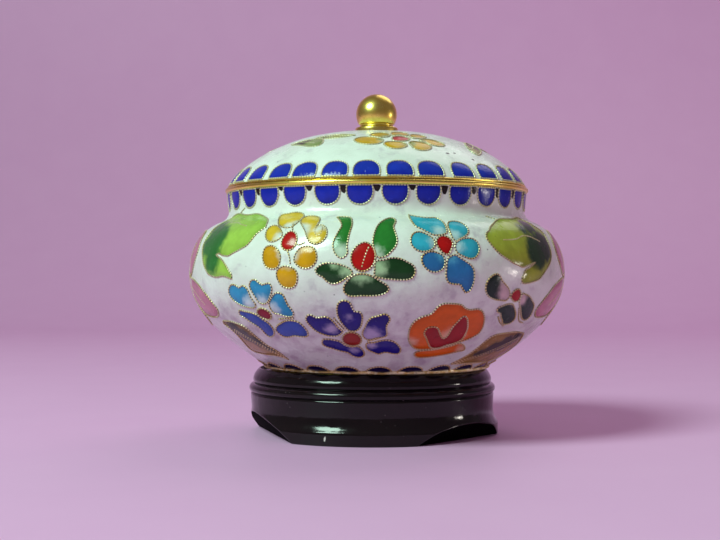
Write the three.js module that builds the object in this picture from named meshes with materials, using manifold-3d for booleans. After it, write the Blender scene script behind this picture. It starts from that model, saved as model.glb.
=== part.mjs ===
// A round cloisonne enamel box with a lift-off lid, on its black lacquered wooden stand.
// Millimetres, +Z up. The origin lies on the stand's underside, straight below the knob, and -Y
// is the front. The box is set down a little to the right of the stand's own middle.

import * as THREE from 'three';
import { mergeVertices } from 'three/addons/utils/BufferGeometryUtils.js';
import Module from 'manifold-3d';

const wasm = await Module();
wasm.setup();

// ---- Driving dimensions ----

const SIDES = 54; // facets around every large turned piece

const FOOT_RADIUS = 35.2; // where the bowl's underside turns down on to its foot ring
const BOWL_BASE = 21.3;
const GIRTH_RADIUS = 59.8;
const GIRTH_HEIGHT = 51;
const NECK_RADIUS = 47.4;
const NECK_HEIGHT = 71.5;
const MOUTH_RADIUS = 47.9;
const MOUTH_HEIGHT = 76.6;
const WALL = 2; // copper sheet with enamel on both faces

const SEAM_HEIGHT = 78.1; // where the lid's band rests on the bowl's rim
const RIM_RADIUS = 48.7;
const BAND_RADIUS = 47.9;
const BAND_TOP = 78.9;
const LID_RADIUS = 47.4;
const LID_TOP = 96.3;
const LID_SEAT = 45.4; // inner radius of the ring on which the lid's wall stands
const FLANGE_DEPTH = 4; // how far the lid's flange drops inside the mouth
const FLANGE_WALL = 0.8;
const FLANGE_GAP = 0.3;

const COLLAR_RADIUS = 6.9;
const BALL_RADIUS = 6.6;
const BALL_HEIGHT = 102.4;

const RING_RADIUS = 34.1;
const RING_WALL = 2.6;
const STAND_SHIFT = -1.45; // the stand's own middle, left of the box's
const STAND_HEIGHT = 20.8;
const STAND_RADIUS = 40.4;
const RECESS_RADIUS = 36;
const RECESS_DEPTH = 0.8;

// ---- Turning ----

// An outline of [radius, height] points, closed by the axis or on itself, spun about the Z axis.
function turned(outline, sides = SIDES) {
  const points = outline.map(([radius, height]) => new THREE.Vector2(radius, height));
  if (points[0].x > 0) points.push(points[0].clone());
  return new THREE.LatheGeometry(points, sides).rotateX(Math.PI / 2);
}

// The [radius, height] points of a Bezier curve, first and last included.
function bend(start, startHandle, endHandle, end, steps) {
  const [a, b, c, d] = [start, startHandle, endHandle, end].map((p) => new THREE.Vector2(...p));
  return new THREE.CubicBezierCurve(a, b, c, d).getPoints(steps).map((p) => [p.x, p.y]);
}

// Points on an arc about a centre, from one angle to another in degrees.
function arc([x, z], radius, from, to, steps) {
  return Array.from({ length: steps + 1 }, (_, i) => {
    const angle = THREE.MathUtils.degToRad(from + ((to - from) * i) / steps);
    return [x + radius * Math.cos(angle), z + radius * Math.sin(angle)];
  });
}

// The same line moved sideways, to its left as it is walked, by a wall's thickness.
function moved(line, distance) {
  return line.map(([x, z], i) => {
    const [x0, z0] = line[Math.max(i - 1, 0)];
    const [x1, z1] = line[Math.min(i + 1, line.length - 1)];
    const length = Math.hypot(x1 - x0, z1 - z0);
    return [x - ((z1 - z0) / length) * distance, z + ((x1 - x0) / length) * distance];
  });
}

function piece(name, geometry, color, roughness, metalness) {
  const material = new THREE.MeshStandardMaterial({ color, roughness, metalness });
  const mesh = new THREE.Mesh(geometry, material);
  mesh.name = name;
  return mesh;
}

// ---- Solid cuts ----

function toManifold(geometry) {
  const bare = geometry.clone();
  bare.deleteAttribute('normal');
  bare.deleteAttribute('uv');
  const merged = mergeVertices(bare, 1e-4);
  const mesh = { numProp: 3, vertProperties: merged.attributes.position.array };
  mesh.triVerts = new Uint32Array(merged.index.array);
  return new wasm.Manifold(new wasm.Mesh(mesh));
}

function fromManifold(solid) {
  const { vertProperties, triVerts } = solid.getMesh();
  const geometry = new THREE.BufferGeometry();
  geometry.setAttribute('position', new THREE.BufferAttribute(vertProperties, 3));
  geometry.setIndex(new THREE.BufferAttribute(triVerts, 1));
  return geometry;
}

// ---- Stand: turned wood with two beads, a waist and a spreading foot ----

const flare = bend([40.1, 4.3], [39.4, 5.3], [38.9, 6.4], [38.8, 8.8], 3);
const beadLower = bend([38.6, 13.4], [40, 13.8], [40, 15.8], [37.9, 16.3], 4);
const beadUpper = bend([37.9, 16.3], [38.7, 17], [38.4, 18.8], [36.4, STAND_HEIGHT], 5);
const standOutline = [
  [0, 0],
  [STAND_RADIUS, 0],
  [STAND_RADIUS, 3.2],
  [STAND_RADIUS - 0.2, 3.8],
  ...flare,
  [39.1, 12.7],
  ...beadLower,
  ...beadUpper.slice(1),
  [RECESS_RADIUS, STAND_HEIGHT],
  [RECESS_RADIUS, STAND_HEIGHT - RECESS_DEPTH],
  [0, STAND_HEIGHT - RECESS_DEPTH],
];

// Three flat facets are planed off the base, each rising outwards from a chord of the underside.
const facets = [
  { bearing: -73, chord: 32.2 },
  { bearing: 50, chord: 34.6 },
  { bearing: 170, chord: 33.4 },
];
const FACET_RISE = Math.atan(1.15);

function facetCutter({ bearing, chord }) {
  const size = 80;
  const block = new THREE.BoxGeometry(size, size, size).translate(size / 2, 0, -size / 2);
  block.rotateY(-FACET_RISE).translate(chord, 0, 0);
  return block.rotateZ(THREE.MathUtils.degToRad(bearing - 90));
}

let standSolid = toManifold(turned(standOutline));
for (const facet of facets) {
  standSolid = standSolid.subtract(toManifold(facetCutter(facet)));
}
standSolid = standSolid.simplify(0.03); // no slivers where a facet grazes a turned edge
standSolid = standSolid.translate([STAND_SHIFT, 0, 0]);

// ---- Bowl: beaten copper shell, hollow, enamelled inside and out ----

const belly = bend(
  [FOOT_RADIUS, BOWL_BASE],
  [43.7, 27.4],
  [GIRTH_RADIUS, GIRTH_HEIGHT - 14.8],
  [GIRTH_RADIUS, GIRTH_HEIGHT],
  8,
);
const shoulder = bend([GIRTH_RADIUS, GIRTH_HEIGHT], [GIRTH_RADIUS, GIRTH_HEIGHT + 9], [55.5, 65.1], [50.4, 67.1], 6);
const neck = bend([50.4, 67.1], [48.6, 67.8], [NECK_RADIUS, 68.9], [NECK_RADIUS, NECK_HEIGHT], 3);
const outside = [...belly, ...shoulder.slice(1), ...neck.slice(1), [MOUTH_RADIUS, MOUTH_HEIGHT]];
const inside = moved(outside, WALL).filter((_, i) => i > 0 && i < outside.length - 1 && i % 2 === 0);
const bowlOutline = [
  [0, BOWL_BASE],
  ...outside,
  [MOUTH_RADIUS - WALL, MOUTH_HEIGHT],
  ...inside.reverse(),
  [FOOT_RADIUS - WALL, BOWL_BASE + WALL],
  [0, BOWL_BASE + WALL],
];

// ---- Gilt rings ----

const footRingOutline = [
  [RING_RADIUS - RING_WALL, STAND_HEIGHT - RECESS_DEPTH],
  [RING_RADIUS - 0.3, STAND_HEIGHT - RECESS_DEPTH],
  [RING_RADIUS, STAND_HEIGHT - RECESS_DEPTH + 0.4],
  [RING_RADIUS + 0.5, BOWL_BASE],
  [RING_RADIUS - RING_WALL, BOWL_BASE],
];

const rimInner = MOUTH_RADIUS - WALL;
const rimMiddle = (MOUTH_HEIGHT + SEAM_HEIGHT) / 2;
const rimRound = (SEAM_HEIGHT - MOUTH_HEIGHT) / 2;
const bowlRimOutline = [
  [rimInner, MOUTH_HEIGHT],
  ...arc([RIM_RADIUS - rimRound, rimMiddle], rimRound, -90, 90, 4),
  [rimInner, SEAM_HEIGHT],
];

const flangeOuter = rimInner - FLANGE_GAP;
const lidRimOutline = [
  [flangeOuter - FLANGE_WALL, SEAM_HEIGHT - FLANGE_DEPTH],
  [flangeOuter, SEAM_HEIGHT - FLANGE_DEPTH],
  [flangeOuter, SEAM_HEIGHT],
  [BAND_RADIUS - 0.4, SEAM_HEIGHT],
  [BAND_RADIUS, SEAM_HEIGHT + 0.3],
  [BAND_RADIUS, BAND_TOP - 0.3],
  [BAND_RADIUS - 0.3, BAND_TOP],
  [flangeOuter - FLANGE_WALL, BAND_TOP],
];

// ---- Lid: shallow enamelled dome with a small flat seat for the knob ----

const dome = bend([LID_RADIUS, BAND_TOP], [43.6, 86.4], [27.6, LID_TOP], [COLLAR_RADIUS, LID_TOP], 10);
const lidInside = moved(dome, WALL).filter((_, i) => i > 0 && i < dome.length - 1 && i % 2 === 0);
const lidOutline = [
  [LID_SEAT, BAND_TOP],
  ...dome,
  [0, LID_TOP],
  [0, LID_TOP - WALL],
  ...lidInside.reverse(),
];

// ---- Knob: gilt ball on a low collar ----

const ballStart = THREE.MathUtils.radToDeg(Math.asin((99.3 - BALL_HEIGHT) / BALL_RADIUS));
const knobOutline = [
  [0, LID_TOP],
  [COLLAR_RADIUS, LID_TOP],
  [COLLAR_RADIUS, 97.6],
  [6.5, 98.1],
  [5.6, 98.4],
  [5.4, 98.9],
  ...arc([0, BALL_HEIGHT], BALL_RADIUS, ballStart, 84, 9),
  [0, BALL_HEIGHT + BALL_RADIUS],
];

// ---- The box ----

const box = new THREE.Group();
box.name = 'cloisonne_box';
box.add(
  piece('stand', fromManifold(standSolid), 0x0d0a0c, 0.2, 0),
  piece('foot_ring', turned(footRingOutline), 0xc9a24a, 0.35, 1),
  piece('bowl', turned(bowlOutline), 0xe6e4dc, 0.2, 0),
  piece('bowl_rim', turned(bowlRimOutline), 0xd9a83c, 0.25, 1),
  piece('lid_rim', turned(lidRimOutline), 0xd9a83c, 0.25, 1),
  piece('lid', turned(lidOutline), 0xe6efe6, 0.2, 0),
  piece('knob', turned(knobOutline, 24), 0xd9a83c, 0.2, 1),
);

export default box;
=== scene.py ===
import bisect
import math

import bmesh
import bpy
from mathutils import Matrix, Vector, geometry, noise


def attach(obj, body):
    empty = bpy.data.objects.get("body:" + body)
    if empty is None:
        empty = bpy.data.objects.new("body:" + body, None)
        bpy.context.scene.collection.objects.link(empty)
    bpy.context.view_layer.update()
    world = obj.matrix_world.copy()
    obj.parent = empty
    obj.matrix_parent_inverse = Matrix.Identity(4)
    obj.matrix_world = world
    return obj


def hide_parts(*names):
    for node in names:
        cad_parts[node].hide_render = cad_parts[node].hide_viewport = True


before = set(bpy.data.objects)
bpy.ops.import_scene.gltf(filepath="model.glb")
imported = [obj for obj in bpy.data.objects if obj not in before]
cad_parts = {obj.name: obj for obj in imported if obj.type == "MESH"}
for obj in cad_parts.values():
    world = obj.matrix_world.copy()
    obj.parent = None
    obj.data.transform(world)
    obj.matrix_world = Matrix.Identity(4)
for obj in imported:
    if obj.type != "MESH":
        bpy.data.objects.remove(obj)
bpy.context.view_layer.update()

# ---- Studio ----
# A camera level with the bowl's girth and a pale seamless sweep that the box stands on. The
# lights are a large cool softbox at the upper left, a small warm one low at the right and a fill.

MM = 0.001
CAMERA_DISTANCE = 0.420
CAMERA_HEIGHT = 0.0502
LIGHTS_AIM = 0.055  # the height that every lamp faces

camera = bpy.data.objects.new("camera", bpy.data.cameras.new("camera"))
camera.data.lens = 64.9
camera.data.clip_start = 0.01
camera.location = (0, -CAMERA_DISTANCE, CAMERA_HEIGHT)
camera.rotation_euler = (math.radians(90.265), 0, math.radians(0.73))
bpy.context.scene.collection.objects.link(camera)
bpy.context.scene.camera = camera
bpy.context.scene.view_settings.view_transform = "Standard"


def paint(red, green, blue):
    """A colour from its usual 0 to 255 values, as a shader takes it."""
    shares = [part / 255 for part in (red, green, blue)]
    return (*[p / 12.92 if p < 0.04 else ((p + 0.055) / 1.055) ** 2.4 for p in shares], 1.0)


def feed(node, inputs):
    """Sets a node's sockets by name or number, to a link or to a plain value."""
    for name, value in inputs.items():
        if isinstance(value, Value):
            node.id_data.links.new(value.socket, node.inputs[name])
        else:
            node.inputs[name].default_value = value


class Value:
    """An output socket of a material; sums and products of these add their Math nodes."""

    def __init__(self, socket):
        self.socket = socket

    def node(self, kind, settings, inputs, output=0):
        """Adds a node of any kind: its settings first, then what goes into its sockets."""
        made = self.socket.id_data.nodes.new(kind)
        for name, setting in settings.items():
            setattr(made, name, setting)
        feed(made, inputs)
        return Value(made.outputs[output])

    def math(self, operation, *operands):
        return self.node("ShaderNodeMath", {"operation": operation}, dict(enumerate(operands)))

    def __add__(self, other):
        return self.math("ADD", self, other)

    def __sub__(self, other):
        return self.math("SUBTRACT", self, other)

    def __rsub__(self, other):
        return self.math("SUBTRACT", other, self)

    def __mul__(self, other):
        return self.math("MULTIPLY", self, other)

    __radd__ = __add__
    __rmul__ = __mul__

    def rise(self, low, high):
        """0 below low, 1 above high, and a smooth step between them."""
        limits = {"Value": self, "From Min": low, "From Max": high}
        return self.node("ShaderNodeMapRange", {"interpolation_type": "SMOOTHSTEP"}, limits)

    def blend(self, start, end):
        """The first colour where this is 0, the second where it is 1."""
        return self.node("ShaderNodeMix", {"data_type": "RGBA"}, {0: self, 6: start, 7: end}, 2)

    def dimmed(self, share):
        """This colour or vector times a number."""
        return self.node(
            "ShaderNodeVectorMath", {"operation": "SCALE"}, {0: self, "Scale": share}
        )

    def cloud(self, scale, detail=2.0, roughness=0.5):
        """Soft noise of about 0.5 at these coordinates; scale is in lumps per metre."""
        inputs = {"Vector": self, "Scale": scale, "Detail": detail, "Roughness": roughness}
        return self.node("ShaderNodeTexNoise", {}, inputs)

    def specks(self, scale, size):
        """1 in small round specks, size being their share of the spacing, and 0 elsewhere."""
        inputs = {"Vector": self, "Scale": scale}
        distance = self.node("ShaderNodeTexVoronoi", {}, inputs)
        return 1 - distance.rise(size * 0.5, size)

    def bump(self, height_mm):
        """A normal from this height map, whose 1 is so many millimetres."""
        return self.node(
            "ShaderNodeBump", {}, {"Height": self, "Strength": 1.0, "Distance": height_mm * MM}
        )


def new_finish(name):
    """A material, its shader node, and the Object coordinates it reads."""
    material = bpy.data.materials.new(name)
    material.use_nodes = True
    nodes = material.node_tree.nodes
    place = Value(nodes.new("ShaderNodeTexCoord").outputs["Object"])
    return material, nodes["Principled BSDF"], place


def made_piece(name, shape, *finishes):
    """The bmesh as an object with its materials, smooth except at sharp edges."""
    mesh = bpy.data.meshes.new(name)
    shape.to_mesh(mesh)
    shape.free()
    mesh.shade_smooth()
    mesh.set_sharp_from_angle(angle=math.radians(40))
    for finish in finishes:
        mesh.materials.append(finish)
    piece = bpy.data.objects.new(name, mesh)
    bpy.context.scene.collection.objects.link(piece)
    return piece


SWEEP_FRONT = -1.6
SWEEP_BACK = 0.75
SWEEP_BEND = 0.45
SWEEP_TOP = 1.6
SWEEP_WIDTH = 4.0
SWEEP_STEPS = 24

sweep = bmesh.new()
bend_steps = [math.radians(90 * step / SWEEP_STEPS) for step in range(SWEEP_STEPS + 1)]
sweep_line = [
    (SWEEP_BACK + SWEEP_BEND * math.sin(turn), SWEEP_BEND * (1 - math.cos(turn)))
    for turn in bend_steps
]
sweep_line = [(SWEEP_FRONT, 0), *sweep_line, (SWEEP_BACK + SWEEP_BEND, SWEEP_TOP)]
sweep_points = [sweep.verts.new((-SWEEP_WIDTH / 2, y, z)) for y, z in sweep_line]
sweep_edges = [sweep.edges.new(pair) for pair in zip(sweep_points, sweep_points[1:])]
pulled = bmesh.ops.extrude_edge_only(sweep, edges=sweep_edges)["geom"]
pulled_points = [part for part in pulled if isinstance(part, bmesh.types.BMVert)]
bmesh.ops.translate(sweep, verts=pulled_points, vec=(SWEEP_WIDTH, 0, 0))
bmesh.ops.recalc_face_normals(sweep, faces=sweep.faces)

card, card_shader, card_place = new_finish("sweep_card")
feed(
    card_shader,
    {
        "Base Color": card_place.cloud(30).blend(paint(232, 176, 222), paint(236, 182, 226)),
        "Roughness": 0.55,
    },
)
floor = made_piece("sweep", sweep, card)

world = bpy.data.worlds.new("studio")
world.use_nodes = True
feed(
    world.node_tree.nodes["Background"],
    {"Color": (1.0, 0.76, 0.92, 1.0), "Strength": 0.15},
)
bpy.context.scene.world = world


def softbox(name, bearing, height, distance, size, power, colour):
    """A round softbox that faces the box, from a bearing (0 front, 90 right) and a height."""
    lamp = bpy.data.lights.new(name, "AREA")
    lamp.shape = "DISK"
    lamp.size = size
    lamp.energy = power
    lamp.color = colour
    side, up = math.radians(bearing), math.radians(height)
    away = Vector((math.sin(side) * math.cos(up), -math.cos(side) * math.cos(up), math.sin(up)))
    holder = bpy.data.objects.new(name, lamp)
    holder.location = away * distance + Vector((0, 0, LIGHTS_AIM))
    holder.rotation_euler = away.to_track_quat("Z", "Y").to_euler()
    bpy.context.scene.collection.objects.link(holder)


softbox("window", -48, 43, 1.3, 0.48, 16.4, (0.67, 1.0, 0.83))
softbox("lamp", 86, 1, 1.1, 0.10, 1.0, (1.0, 0.94, 0.84))
softbox("fill", 150, 50, 1.4, 0.9, 3.0, (1.0, 0.94, 0.97))

# ---- Stand ----
# A low stand of turned hardwood, stained and lacquered black, with two beads under the bowl
# and a spreading foot. Three flats are planed off the foot's lower edge.

STAND_SHIFT = -1.45  # the box is set down a little to the right of the stand's middle
STAND_HEIGHT = 20.8
STAND_RADIUS = 40.4
RECESS_RADIUS = 36.0
RECESS_DEPTH = 0.8
FLATS = [(-73, 32.2), (50, 34.6), (170, 33.4)]  # bearing, and how far out on the underside
FLAT_RISE = math.atan(1.15)


def bend(start, start_handle, end_handle, end, steps):
    """Points of (radius, height) on a Bezier bend, first and last included."""
    knots = [Vector(point) for point in (start, start_handle, end_handle, end)]
    return geometry.interpolate_bezier(*knots, steps + 1)


def turned(outline, steps=144):
    """An outline of (radius, height) in mm spun about the Z axis, with faces outwards."""
    shape = bmesh.new()
    points = [shape.verts.new((radius * MM, 0, height * MM)) for radius, height in outline]
    edges = [shape.edges.new(pair) for pair in zip(points, points[1:])]
    if outline[0][0] > 0:
        edges.append(shape.edges.new((points[-1], points[0])))
    bmesh.ops.spin(
        shape,
        geom=points + edges,
        cent=(0, 0, 0),
        axis=(0, 0, 1),
        dvec=(0, 0, 0),
        angle=math.tau,
        steps=steps,
        use_merge=True,
        use_duplicate=False,
    )
    bmesh.ops.remove_doubles(shape, verts=shape.verts, dist=0.001 * MM)
    bmesh.ops.recalc_face_normals(shape, faces=shape.faces)
    return shape


def bearing_way(bearing):
    """The level direction of a bearing in degrees: 0 is the front, 90 the right."""
    return Vector((math.sin(math.radians(bearing)), -math.cos(math.radians(bearing)), 0))


stand_outline = [
    (0, 0),
    (STAND_RADIUS - 0.3, 0),
    (STAND_RADIUS, 0.3),
    (STAND_RADIUS, 3.1),
    *bend((STAND_RADIUS, 3.3), (STAND_RADIUS, 3.8), (40.3, 4.1), (40.1, 4.3), 3),
    *bend((40.1, 4.3), (39.4, 5.3), (38.8, 6.6), (38.8, 8.8), 10)[1:],
    (39.05, 12.5),
    *bend((39.1, 12.7), (39.0, 13.1), (38.8, 13.3), (38.6, 13.35), 3),
    *bend((38.6, 13.4), (40.0, 13.8), (40.0, 15.8), (37.9, 16.3), 12),
    *bend((37.9, 16.3), (38.7, 17.0), (38.4, 18.8), (36.4, STAND_HEIGHT), 14)[1:],
    (RECESS_RADIUS, STAND_HEIGHT),
    (RECESS_RADIUS, STAND_HEIGHT - RECESS_DEPTH),
    (0, STAND_HEIGHT - RECESS_DEPTH),
]
stand_shape = turned(stand_outline)
flats = []
for bearing, chord in FLATS:
    way = bearing_way(bearing)
    cut = bmesh.ops.bisect_plane(
        stand_shape,
        geom=stand_shape.verts[:] + stand_shape.edges[:] + stand_shape.faces[:],
        dist=0.0001 * MM,
        plane_co=way * chord * MM,
        plane_no=way * math.sin(FLAT_RISE) - Vector((0, 0, math.cos(FLAT_RISE))),
        clear_outer=True,
    )
    cut_edges = [part for part in cut["geom_cut"] if isinstance(part, bmesh.types.BMEdge)]
    flats += bmesh.ops.contextual_create(stand_shape, geom=cut_edges)["faces"]
for flat in flats:
    flat.material_index = 1
flat_edges = {edge for flat in flats for edge in flat.edges}
bmesh.ops.bevel(
    stand_shape, geom=list(flat_edges), offset=0.22 * MM, segments=2, affect="EDGES", profile=0.5
)
bmesh.ops.recalc_face_normals(stand_shape, faces=stand_shape.faces)
bmesh.ops.translate(stand_shape, verts=stand_shape.verts, vec=(STAND_SHIFT * MM, 0, 0))

CHIP_BEARING = -20
CHIP_HEIGHT = 2.2
CHIP_LEAN = math.radians(-12)

lacquer, lacquer_shader, lacquer_place = new_finish("black_lacquer")
chip_middle = bearing_way(CHIP_BEARING) * STAND_RADIUS * MM
chip_middle += Vector((STAND_SHIFT, 0, CHIP_HEIGHT)) * MM
from_chip = lacquer_place.node(
    "ShaderNodeVectorMath", {"operation": "SUBTRACT"}, {0: lacquer_place, 1: chip_middle}
)
from_chip = from_chip.node(
    "ShaderNodeVectorRotate", {"rotation_type": "Y_AXIS"}, {0: from_chip, "Angle": CHIP_LEAN}
)
from_chip = from_chip.node(
    "ShaderNodeVectorMath", {"operation": "MULTIPLY"}, {0: from_chip, 1: (2600, 2600, 1150)}
)
from_chip = from_chip.node(
    "ShaderNodeVectorMath", {"operation": "LENGTH"}, {0: from_chip}, "Value"
)
chip = 1 - (from_chip + lacquer_place.cloud(3000)).rise(1.1, 1.5)
grain_place = lacquer_place.node(
    "ShaderNodeMapping", {"vector_type": "TEXTURE"}, {"Vector": lacquer_place, "Scale": (9, 1, 1)}
)
wood_grain = grain_place.cloud(1500, 3.0, 0.6)
brush_marks = lacquer_place.cloud(160, 2.0)
dust = lacquer_place.specks(520, 0.10) * lacquer_place.cloud(60).rise(0.52, 0.66)
lacquer_tone = lacquer_place.cloud(90).blend(paint(13, 9, 12), paint(25, 16, 18))
lacquer_tone = (dust * 0.6).blend(lacquer_tone, paint(120, 104, 112))
feed(
    lacquer_shader,
    {
        "Base Color": chip.blend(lacquer_tone, paint(214, 204, 200)),
        "Roughness": 0.08 + lacquer_place.cloud(240).rise(0.3, 0.9) * 0.12 + dust * 0.4 + chip * 0.5,
        "Specular IOR Level": 0.32,
        "Normal": (brush_marks + wood_grain * 0.10 - chip * 0.5).bump(0.16),
    },
)
# The three flats get a near-black, almost unreflecting finish, darker than the lacquer: a matt black, with
# painted shade for flats that face down into the dark under the foot.
flat_shade_finish, flat_shade_shader, flat_shade_place = new_finish("near_black_flats_painted_shade")
feed(
    flat_shade_shader,
    {
        "Base Color": flat_shade_place.cloud(200, 3.0).blend(paint(1, 0, 1), paint(4, 2, 4)),
        "Roughness": 0.7 + flat_shade_place.cloud(700) * 0.2,
        "Specular IOR Level": 0.02,
    },
)
stand = made_piece("lacquered_stand", stand_shape, lacquer, flat_shade_finish)
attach(stand, "root")
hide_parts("stand")

# ---- Foot ring ----
# The bowl stands on a gilt copper ring that drops into the shallow seat turned in the top of
# the stand. An uneven fillet of gilt solder joins it to the bowl's underside.

FOOT_RADIUS = 35.2
BOWL_BASE = 21.3
RING_RADIUS = 34.1
RING_WALL = 2.6
STAND_SEAT = STAND_HEIGHT - RECESS_DEPTH
SHELL_STEPS = 216  # faces round the solder, the rims and the enamelled shells
FILLET_DROP = 0.45  # how far the solder hangs below the bowl's base, in mm
FILLET_HEIGHT = 1.25

gilt, gilt_shader, gilt_place = new_finish("gilt")
handled = gilt_place.cloud(140, 3.0, 0.6)
gilt_tone = handled.rise(0.35, 0.7).blend(paint(254, 234, 122), paint(238, 206, 92))
tarnish = gilt_place.cloud(900, 3.0, 0.7).rise(0.60, 0.78)
feed(
    gilt_shader,
    {
        "Base Color": (tarnish * 0.6).blend(gilt_tone, paint(126, 86, 34)),
        "Metallic": 1.0,
        "Roughness": 0.24 + handled.rise(0.3, 0.8) * 0.12 + tarnish * 0.15,
        "Normal": (gilt_place.cloud(500, 2.0) + gilt_place.cloud(4000) * 0.1).bump(0.03),
    },
)
foot_ring_shape = turned(
    [
        (RING_RADIUS - RING_WALL, STAND_SEAT),
        (RING_RADIUS - 0.3, STAND_SEAT),
        (RING_RADIUS, STAND_SEAT + 0.4),
        (RING_RADIUS + 0.3, BOWL_BASE - 0.8),
        (RING_RADIUS + 0.5, BOWL_BASE),
        (RING_RADIUS - RING_WALL, BOWL_BASE),
    ]
)
foot_ring = made_piece("gilt_foot_ring", foot_ring_shape, gilt)
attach(foot_ring, "root")
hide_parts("foot_ring")

fillet_shape = turned(
    [
        (RING_RADIUS, BOWL_BASE - 0.4),
        (RING_RADIUS + 1.3, BOWL_BASE - FILLET_DROP),
        (RING_RADIUS + 1.9, BOWL_BASE - 0.3),
        (RING_RADIUS + 2.2, BOWL_BASE),
        (RING_RADIUS + 2.2, BOWL_BASE + 0.4),
        (RING_RADIUS + 1.9, BOWL_BASE - FILLET_DROP + FILLET_HEIGHT),
        (RING_RADIUS + 1.2, BOWL_BASE + 0.7),
        (RING_RADIUS, BOWL_BASE + 0.3),
    ],
    steps=SHELL_STEPS,
)
for point in fillet_shape.verts:
    spot = point.co / MM
    swell = noise.noise(Vector((spot.x, spot.y, 0)) / 3.2) + 0.6 * noise.noise(spot / 1.1)
    rise = (spot.z - BOWL_BASE + FILLET_DROP) / FILLET_HEIGHT
    point.co += Vector((spot.x, spot.y, 0)).normalized() * swell * (0.2 + 0.2 * rise) * MM
    point.co.z += swell * 0.5 * rise * MM

solder, solder_shader, solder_place = new_finish("gilt_solder")
crusted = solder_place.cloud(500, 4.0, 0.65)
solder_tone = crusted.rise(0.42, 0.62).blend(paint(214, 184, 108), paint(250, 240, 196))
feed(
    solder_shader,
    {
        "Base Color": (crusted.rise(0.60, 0.70) * 0.55).blend(solder_tone, paint(110, 78, 44)),
        "Metallic": 0.5,
        "Roughness": 0.34 + crusted * 0.3,
        "Normal": solder_place.cloud(1300, 3.0).bump(0.16),
    },
)
fillet = made_piece("solder_fillet", fillet_shape, solder)
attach(fillet, "root")

# ---- Bowl ----
# A squat bowl beaten from copper sheet, covered outside with white ground enamel and inside
# with a thin turquoise coat. The enamel lies a little unevenly, as it was filed by hand.

GIRTH_RADIUS = 59.8
GIRTH_HEIGHT = 51.0
NECK_RADIUS = 47.4
MOUTH_RADIUS = 47.9
MOUTH_HEIGHT = 76.6
WALL = 2.0
UNEVEN = 0.11  # how far the enamel's skin wanders from the true form, in mm
STAINS_AND_SHADE_BELOW = 26  # the heights in mm between which the mauve stains and the painted shade of the lower bowl thin out
NO_STAINS_OR_SHADE_ABOVE = 60


def wander(spot):
    """How far the enamel skin stands off at a spot in mm, from broad and small swells."""
    return UNEVEN * (noise.noise(spot / 13) + 0.55 * noise.noise(spot / 4.5))


class Sheet:
    """The outside of a turned shell, on which flat patterns in mm are laid."""

    def __init__(self, outline, start):
        self.outline = [Vector(point) for point in outline]
        steps = [(b - a).length for a, b in zip(self.outline, self.outline[1:])]
        self.along = [start + sum(steps[:count]) for count in range(len(self.outline))]
        self.end = self.along[-1]

    def at(self, along):
        """The (radius, height) at a length along the outline, and which way is out."""
        span = bisect.bisect(self.along, along) - 1
        span = min(max(span, 0), len(self.outline) - 2)
        low, high = self.outline[span], self.outline[span + 1]
        share = (along - self.along[span]) / (self.along[span + 1] - self.along[span])
        before = self.outline[max(span - 1, 0)]
        after = self.outline[min(span + 2, len(self.outline) - 1)]
        run = (high - before).normalized().lerp((after - low).normalized(), share)
        return low.lerp(high, share), Vector((run.y, -run.x)).normalized()

    def place(self, bearing, along, across=0.0, proud=0.0):
        """A point in metres: across is measured in mm round the shell from the bearing."""
        spot, out = self.at(along)
        way = bearing_way(bearing + math.degrees(across / max(spot.x, 1.0)))
        base = way * spot.x + Vector((0, 0, spot.y))
        return (base + (way * out.x + Vector((0, 0, out.y))) * (proud + wander(base))) * MM


def moved(line, distance):
    """The same line moved to its left as it is walked, by a wall's thickness."""
    sides = []
    for i, point in enumerate(line):
        run = (Vector(line[min(i + 1, len(line) - 1)]) - Vector(line[max(i - 1, 0)])).normalized()
        sides.append(Vector(point) + Vector((-run.y, run.x)) * distance)
    return sides


def uneven(shape):
    """Moves a turned shell's points in and out by the enamel's own wandering."""
    shape.normal_update()
    for point in shape.verts:
        point.co += point.normal * wander(point.co / MM) * MM


belly = bend((FOOT_RADIUS, BOWL_BASE), (43.7, 27.4), (GIRTH_RADIUS, 36.2), (GIRTH_RADIUS, GIRTH_HEIGHT), 36)
shoulder = bend((GIRTH_RADIUS, GIRTH_HEIGHT), (GIRTH_RADIUS, 60), (55.5, 65.1), (50.4, 67.1), 20)
neck = bend((50.4, 67.1), (48.6, 67.8), (NECK_RADIUS, 68.9), (NECK_RADIUS, 71.5), 7)
mouth = bend((NECK_RADIUS, 71.5), (47.5, 73), (47.7, 74.4), (MOUTH_RADIUS, MOUTH_HEIGHT), 4)
bowl_outside = [*belly, *shoulder[1:], *neck[1:], *mouth[1:]]
belly_length = sum((b - a).length for a, b in zip(belly, belly[1:]))
bowl_sheet = Sheet(bowl_outside, -belly_length)

bowl_inside = moved(bowl_outside, WALL)[1:-1:2]
bowl_shape = turned(
    [
        (0, BOWL_BASE),
        *bowl_outside,
        (MOUTH_RADIUS - WALL, MOUTH_HEIGHT),
        *reversed(bowl_inside),
        (FOOT_RADIUS - WALL, BOWL_BASE + WALL),
        (0, BOWL_BASE + WALL),
    ],
    steps=SHELL_STEPS,
)
uneven(bowl_shape)


def lining_inside(shape, centre_height):
    """Gives the second material to the faces that look into the hollow."""
    centre = Vector((0, 0, centre_height * MM))
    for face in shape.faces:
        if face.normal.dot(face.calc_center_median() - centre) < 0:
            face.material_index = 1


lining_inside(bowl_shape, GIRTH_HEIGHT)

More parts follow.
